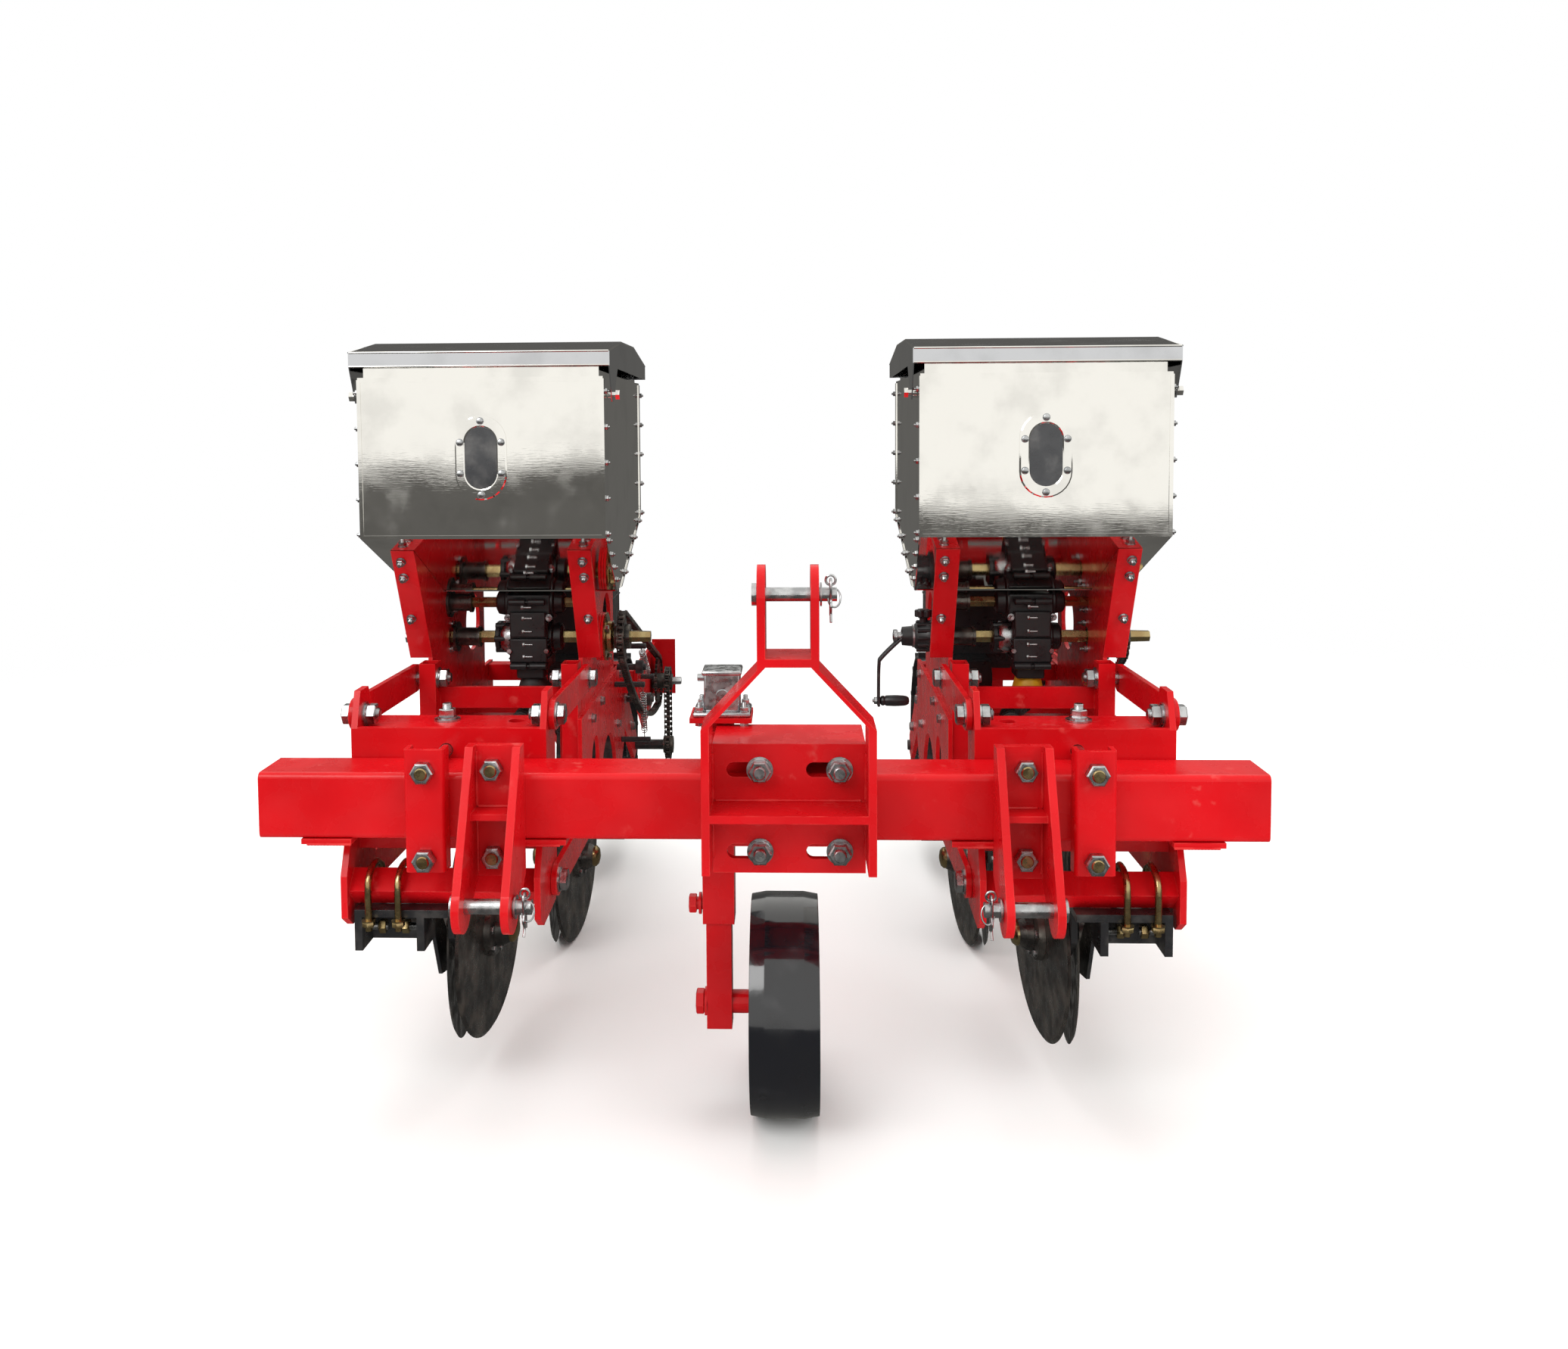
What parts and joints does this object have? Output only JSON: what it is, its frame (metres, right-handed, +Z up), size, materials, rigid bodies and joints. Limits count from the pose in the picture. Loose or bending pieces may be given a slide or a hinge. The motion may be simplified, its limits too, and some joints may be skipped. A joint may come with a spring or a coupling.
{
  "type": "two-row corn planter",
  "caption": "Tractor-mounted row planter with a square toolbar, three-point hitch, gauge wheel and hopper units on parallel links.",
  "frame": {"origin": "on the ground, under the middle of the machine's outer box", "axes": "+X along the toolbar to the right when seen from the tractor, +Y to the rear along the direction opposite to travel, +Z up"},
  "size_m": [1.5, 1.678, 1.242],
  "materials": {
    "red_paint": "glossy red enamel on welded steel",
    "black_paint": "satin black paint",
    "stainless": "mirror-finished stainless sheet",
    "zinc": "bright zinc plate",
    "gold_zinc": "yellow zinc plate",
    "bare_steel": "oiled dark steel",
    "black_plastic": "moulded black plastic",
    "hose": "black rubber",
    "window": "smoked pane in a bright frame",
    "wheel_black": "gloss black enamel"
  },
  "bodies": {
    "frame": {"toolbar": "red_paint", "hitch_mast": "red_paint", "hitch_pins": "zinc", "lower_hitch_brackets": "red_paint", "row_clamps": "red_paint", "row_brackets": "red_paint", "frame_bolts": "zinc", "post_sleeve": "red_paint", "post_cap": "zinc", "opener_holders": "black_paint", "opener_u_bolts": "gold_zinc"},
    "gauge_post": {"gauge_post": "red_paint"},
    "gauge_wheel": {"gauge_wheel": "wheel_black"},
    "left_outer_fertiliser_disc": {"left_outer_fertiliser_disc": "bare_steel"},
    "left_outer_seed_disc": {"left_outer_seed_disc": "bare_steel"},
    "left_inner_fertiliser_disc": {"left_inner_fertiliser_disc": "bare_steel"},
    "left_inner_seed_disc": {"left_inner_seed_disc": "bare_steel"},
    "left_lower_link": {"left_lower_links": "red_paint", "left_pressure_spring": "zinc"},
    "left_upper_link": {"left_upper_links": "red_paint"},
    "left_unit": {"left_unit_frame": "red_paint", "left_unit_bolts": "zinc", "left_fertiliser_hopper": "stainless", "left_hopper_window": "window", "left_fertiliser_meter": "black_plastic", "left_shaft_bearing": "gold_zinc", "left_seed_hopper": "black_plastic", "left_seed_meter": "black_plastic", "left_drive_chains": "bare_steel", "left_wheel_arm": "red_paint", "left_fertiliser_hose": "hose"},
    "left_hopper_lid": {"left_hopper_lid": "stainless"},
    "left_fertiliser_shaft": {"left_fertiliser_shaft": "gold_zinc"},
    "left_seed_hopper_lid": {"left_seed_hopper_lid": "black_plastic"},
    "left_countershaft": {"left_countershaft": "bare_steel"},
    "left_press_wheel": {"left_press_wheel": "black_paint"},
    "right_inner_fertiliser_disc": {"right_inner_fertiliser_disc": "bare_steel"},
    "right_inner_seed_disc": {"right_inner_seed_disc": "bare_steel"},
    "right_outer_fertiliser_disc": {"right_outer_fertiliser_disc": "bare_steel"},
    "right_outer_seed_disc": {"right_outer_seed_disc": "bare_steel"},
    "right_lower_link": {"right_lower_links": "red_paint", "right_pressure_spring": "zinc"},
    "right_upper_link": {"right_upper_links": "red_paint"},
    "right_unit": {"right_unit_frame": "red_paint", "right_unit_bolts": "zinc", "right_fertiliser_hopper": "stainless", "right_hopper_window": "window", "right_fertiliser_meter": "black_plastic", "right_shaft_bearing": "gold_zinc", "right_seed_hopper": "black_plastic", "right_seed_meter": "black_plastic", "right_drive_chains": "bare_steel", "right_wheel_arm": "red_paint", "right_fertiliser_hose": "hose"},
    "right_hopper_lid": {"right_hopper_lid": "stainless"},
    "right_fertiliser_shaft": {"right_fertiliser_shaft": "gold_zinc"},
    "right_seed_hopper_lid": {"right_seed_hopper_lid": "black_plastic"},
    "right_countershaft": {"right_countershaft": "bare_steel"},
    "right_press_wheel": {"right_press_wheel": "black_paint"},
    "right_rate_crank": {"right_rate_crank": "black_plastic"}
  },
  "joints": [
    {"name": "gauge_post_slide", "type": "slide", "parent": "frame", "child": "gauge_post", "axis": [0, 0, 1], "range_m": [-0.08, 0]},
    {"name": "gauge_wheel_spin", "type": "hinge", "parent": "gauge_post", "child": "gauge_wheel", "pos_m": [0.038, -0.574, 0.17], "axis": [1, 0, 0], "continuous": true},
    {"name": "left_outer_fertiliser_disc_spin", "type": "hinge", "parent": "frame", "child": "left_outer_fertiliser_disc", "pos_m": [-0.5065, -0.446, 0.237], "axis": [0.9962, 0.0872, 0], "continuous": true},
    {"name": "left_outer_seed_disc_spin", "type": "hinge", "parent": "left_unit", "child": "left_outer_seed_disc", "pos_m": [-0.45, 0.114, 0.176], "axis": [0.9962, 0.0872, 0], "continuous": true},
    {"name": "left_inner_fertiliser_disc_spin", "type": "hinge", "parent": "frame", "child": "left_inner_fertiliser_disc", "pos_m": [-0.4665, -0.446, 0.237], "axis": [0.9962, -0.0872, 0], "continuous": true},
    {"name": "left_inner_seed_disc_spin", "type": "hinge", "parent": "left_unit", "child": "left_inner_seed_disc", "pos_m": [-0.41, 0.114, 0.176], "axis": [0.9962, -0.0872, 0], "continuous": true},
    {"name": "left_unit_lift", "type": "hinge", "parent": "frame", "child": "left_lower_link", "pos_m": [-0.4865, -0.5705, 0.366], "axis": [1, 0, 0], "range_deg": [0, 14], "stiffness_Nm_per_rad": 300, "springref_deg": -20.05, "deforming": ["left_pressure_spring"]},
    {"name": "left_upper_link_swing", "type": "hinge", "parent": "frame", "child": "left_upper_link", "pos_m": [-0.4865, -0.5705, 0.634], "axis": [1, 0, 0], "range_deg": [0, 14]},
    {"name": "left_unit_level", "type": "hinge", "parent": "left_lower_link", "child": "left_unit", "pos_m": [-0.4865, -0.235, 0.358], "axis": [1, 0, 0], "range_deg": [-14, 0]},
    {"name": "left_hopper_lid_hinge", "type": "hinge", "parent": "left_unit", "child": "left_hopper_lid", "pos_m": [-0.4865, -0.321, 1.143], "axis": [1, 0, 0], "range_deg": [0, 92]},
    {"name": "left_seed_lid_hinge", "type": "hinge", "parent": "left_unit", "child": "left_seed_hopper_lid", "pos_m": [-0.4665, 0.468, 0.953], "axis": [-1, 0, 0], "range_deg": [0, 95]},
    {"name": "left_press_wheel_spin", "type": "hinge", "parent": "left_unit", "child": "left_press_wheel", "pos_m": [-0.43, 0.609, 0.292], "axis": [1, 0, 0], "continuous": true},
    {"name": "left_countershaft_spin", "type": "hinge", "parent": "left_unit", "child": "left_countershaft", "pos_m": [-0.2705, 0.609, 0.452], "axis": [1, 0, 0], "continuous": true},
    {"name": "left_fertiliser_shaft_spin", "type": "hinge", "parent": "left_unit", "child": "left_fertiliser_shaft", "pos_m": [-0.4865, -0.05, 0.672], "axis": [1, 0, 0], "continuous": true},
    {"name": "right_inner_fertiliser_disc_spin", "type": "hinge", "parent": "frame", "child": "right_inner_fertiliser_disc", "pos_m": [0.4665, -0.446, 0.237], "axis": [0.9962, 0.0872, 0], "continuous": true},
    {"name": "right_inner_seed_disc_spin", "type": "hinge", "parent": "right_unit", "child": "right_inner_seed_disc", "pos_m": [0.41, 0.114, 0.176], "axis": [0.9962, 0.0872, 0], "continuous": true},
    {"name": "right_outer_fertiliser_disc_spin", "type": "hinge", "parent": "frame", "child": "right_outer_fertiliser_disc", "pos_m": [0.5065, -0.446, 0.237], "axis": [0.9962, -0.0872, 0], "continuous": true},
    {"name": "right_outer_seed_disc_spin", "type": "hinge", "parent": "right_unit", "child": "right_outer_seed_disc", "pos_m": [0.45, 0.114, 0.176], "axis": [0.9962, -0.0872, 0], "continuous": true},
    {"name": "right_unit_lift", "type": "hinge", "parent": "frame", "child": "right_lower_link", "pos_m": [0.4865, -0.5705, 0.366], "axis": [1, 0, 0], "range_deg": [0, 14], "stiffness_Nm_per_rad": 300, "springref_deg": -20.05, "deforming": ["right_pressure_spring"]},
    {"name": "right_upper_link_swing", "type": "hinge", "parent": "frame", "child": "right_upper_link", "pos_m": [0.4865, -0.5705, 0.634], "axis": [1, 0, 0], "range_deg": [0, 14]},
    {"name": "right_unit_level", "type": "hinge", "parent": "right_lower_link", "child": "right_unit", "pos_m": [0.4865, -0.235, 0.358], "axis": [1, 0, 0], "range_deg": [-14, 0]},
    {"name": "right_hopper_lid_hinge", "type": "hinge", "parent": "right_unit", "child": "right_hopper_lid", "pos_m": [0.4865, -0.321, 1.143], "axis": [1, 0, 0], "range_deg": [0, 92]},
    {"name": "right_seed_lid_hinge", "type": "hinge", "parent": "right_unit", "child": "right_seed_hopper_lid", "pos_m": [0.4665, 0.468, 0.953], "axis": [-1, 0, 0], "range_deg": [0, 95]},
    {"name": "right_press_wheel_spin", "type": "hinge", "parent": "right_unit", "child": "right_press_wheel", "pos_m": [0.43, 0.609, 0.292], "axis": [1, 0, 0], "continuous": true},
    {"name": "right_countershaft_spin", "type": "hinge", "parent": "right_unit", "child": "right_countershaft", "pos_m": [0.7025, 0.609, 0.452], "axis": [1, 0, 0], "continuous": true},
    {"name": "right_fertiliser_shaft_spin", "type": "hinge", "parent": "right_unit", "child": "right_fertiliser_shaft", "pos_m": [0.4865, -0.05, 0.672], "axis": [1, 0, 0], "continuous": true},
    {"name": "right_rate_crank_turn", "type": "hinge", "parent": "right_unit", "child": "right_rate_crank", "pos_m": [0.2665, -0.05, 0.672], "axis": [1, 0, 0], "continuous": true}
  ],
  "couplings": [
    {"joint": "left_upper_link_swing", "follows": "left_unit_lift", "ratio": 1},
    {"joint": "left_unit_level", "follows": "left_unit_lift", "ratio": -1},
    {"joint": "left_countershaft_spin", "follows": "left_press_wheel_spin", "ratio": 1},
    {"joint": "left_fertiliser_shaft_spin", "follows": "left_press_wheel_spin", "ratio": 1.2609},
    {"joint": "right_upper_link_swing", "follows": "right_unit_lift", "ratio": 1},
    {"joint": "right_unit_level", "follows": "right_unit_lift", "ratio": -1},
    {"joint": "right_countershaft_spin", "follows": "right_press_wheel_spin", "ratio": 1},
    {"joint": "right_fertiliser_shaft_spin", "follows": "right_press_wheel_spin", "ratio": 1.2609}
  ]
}
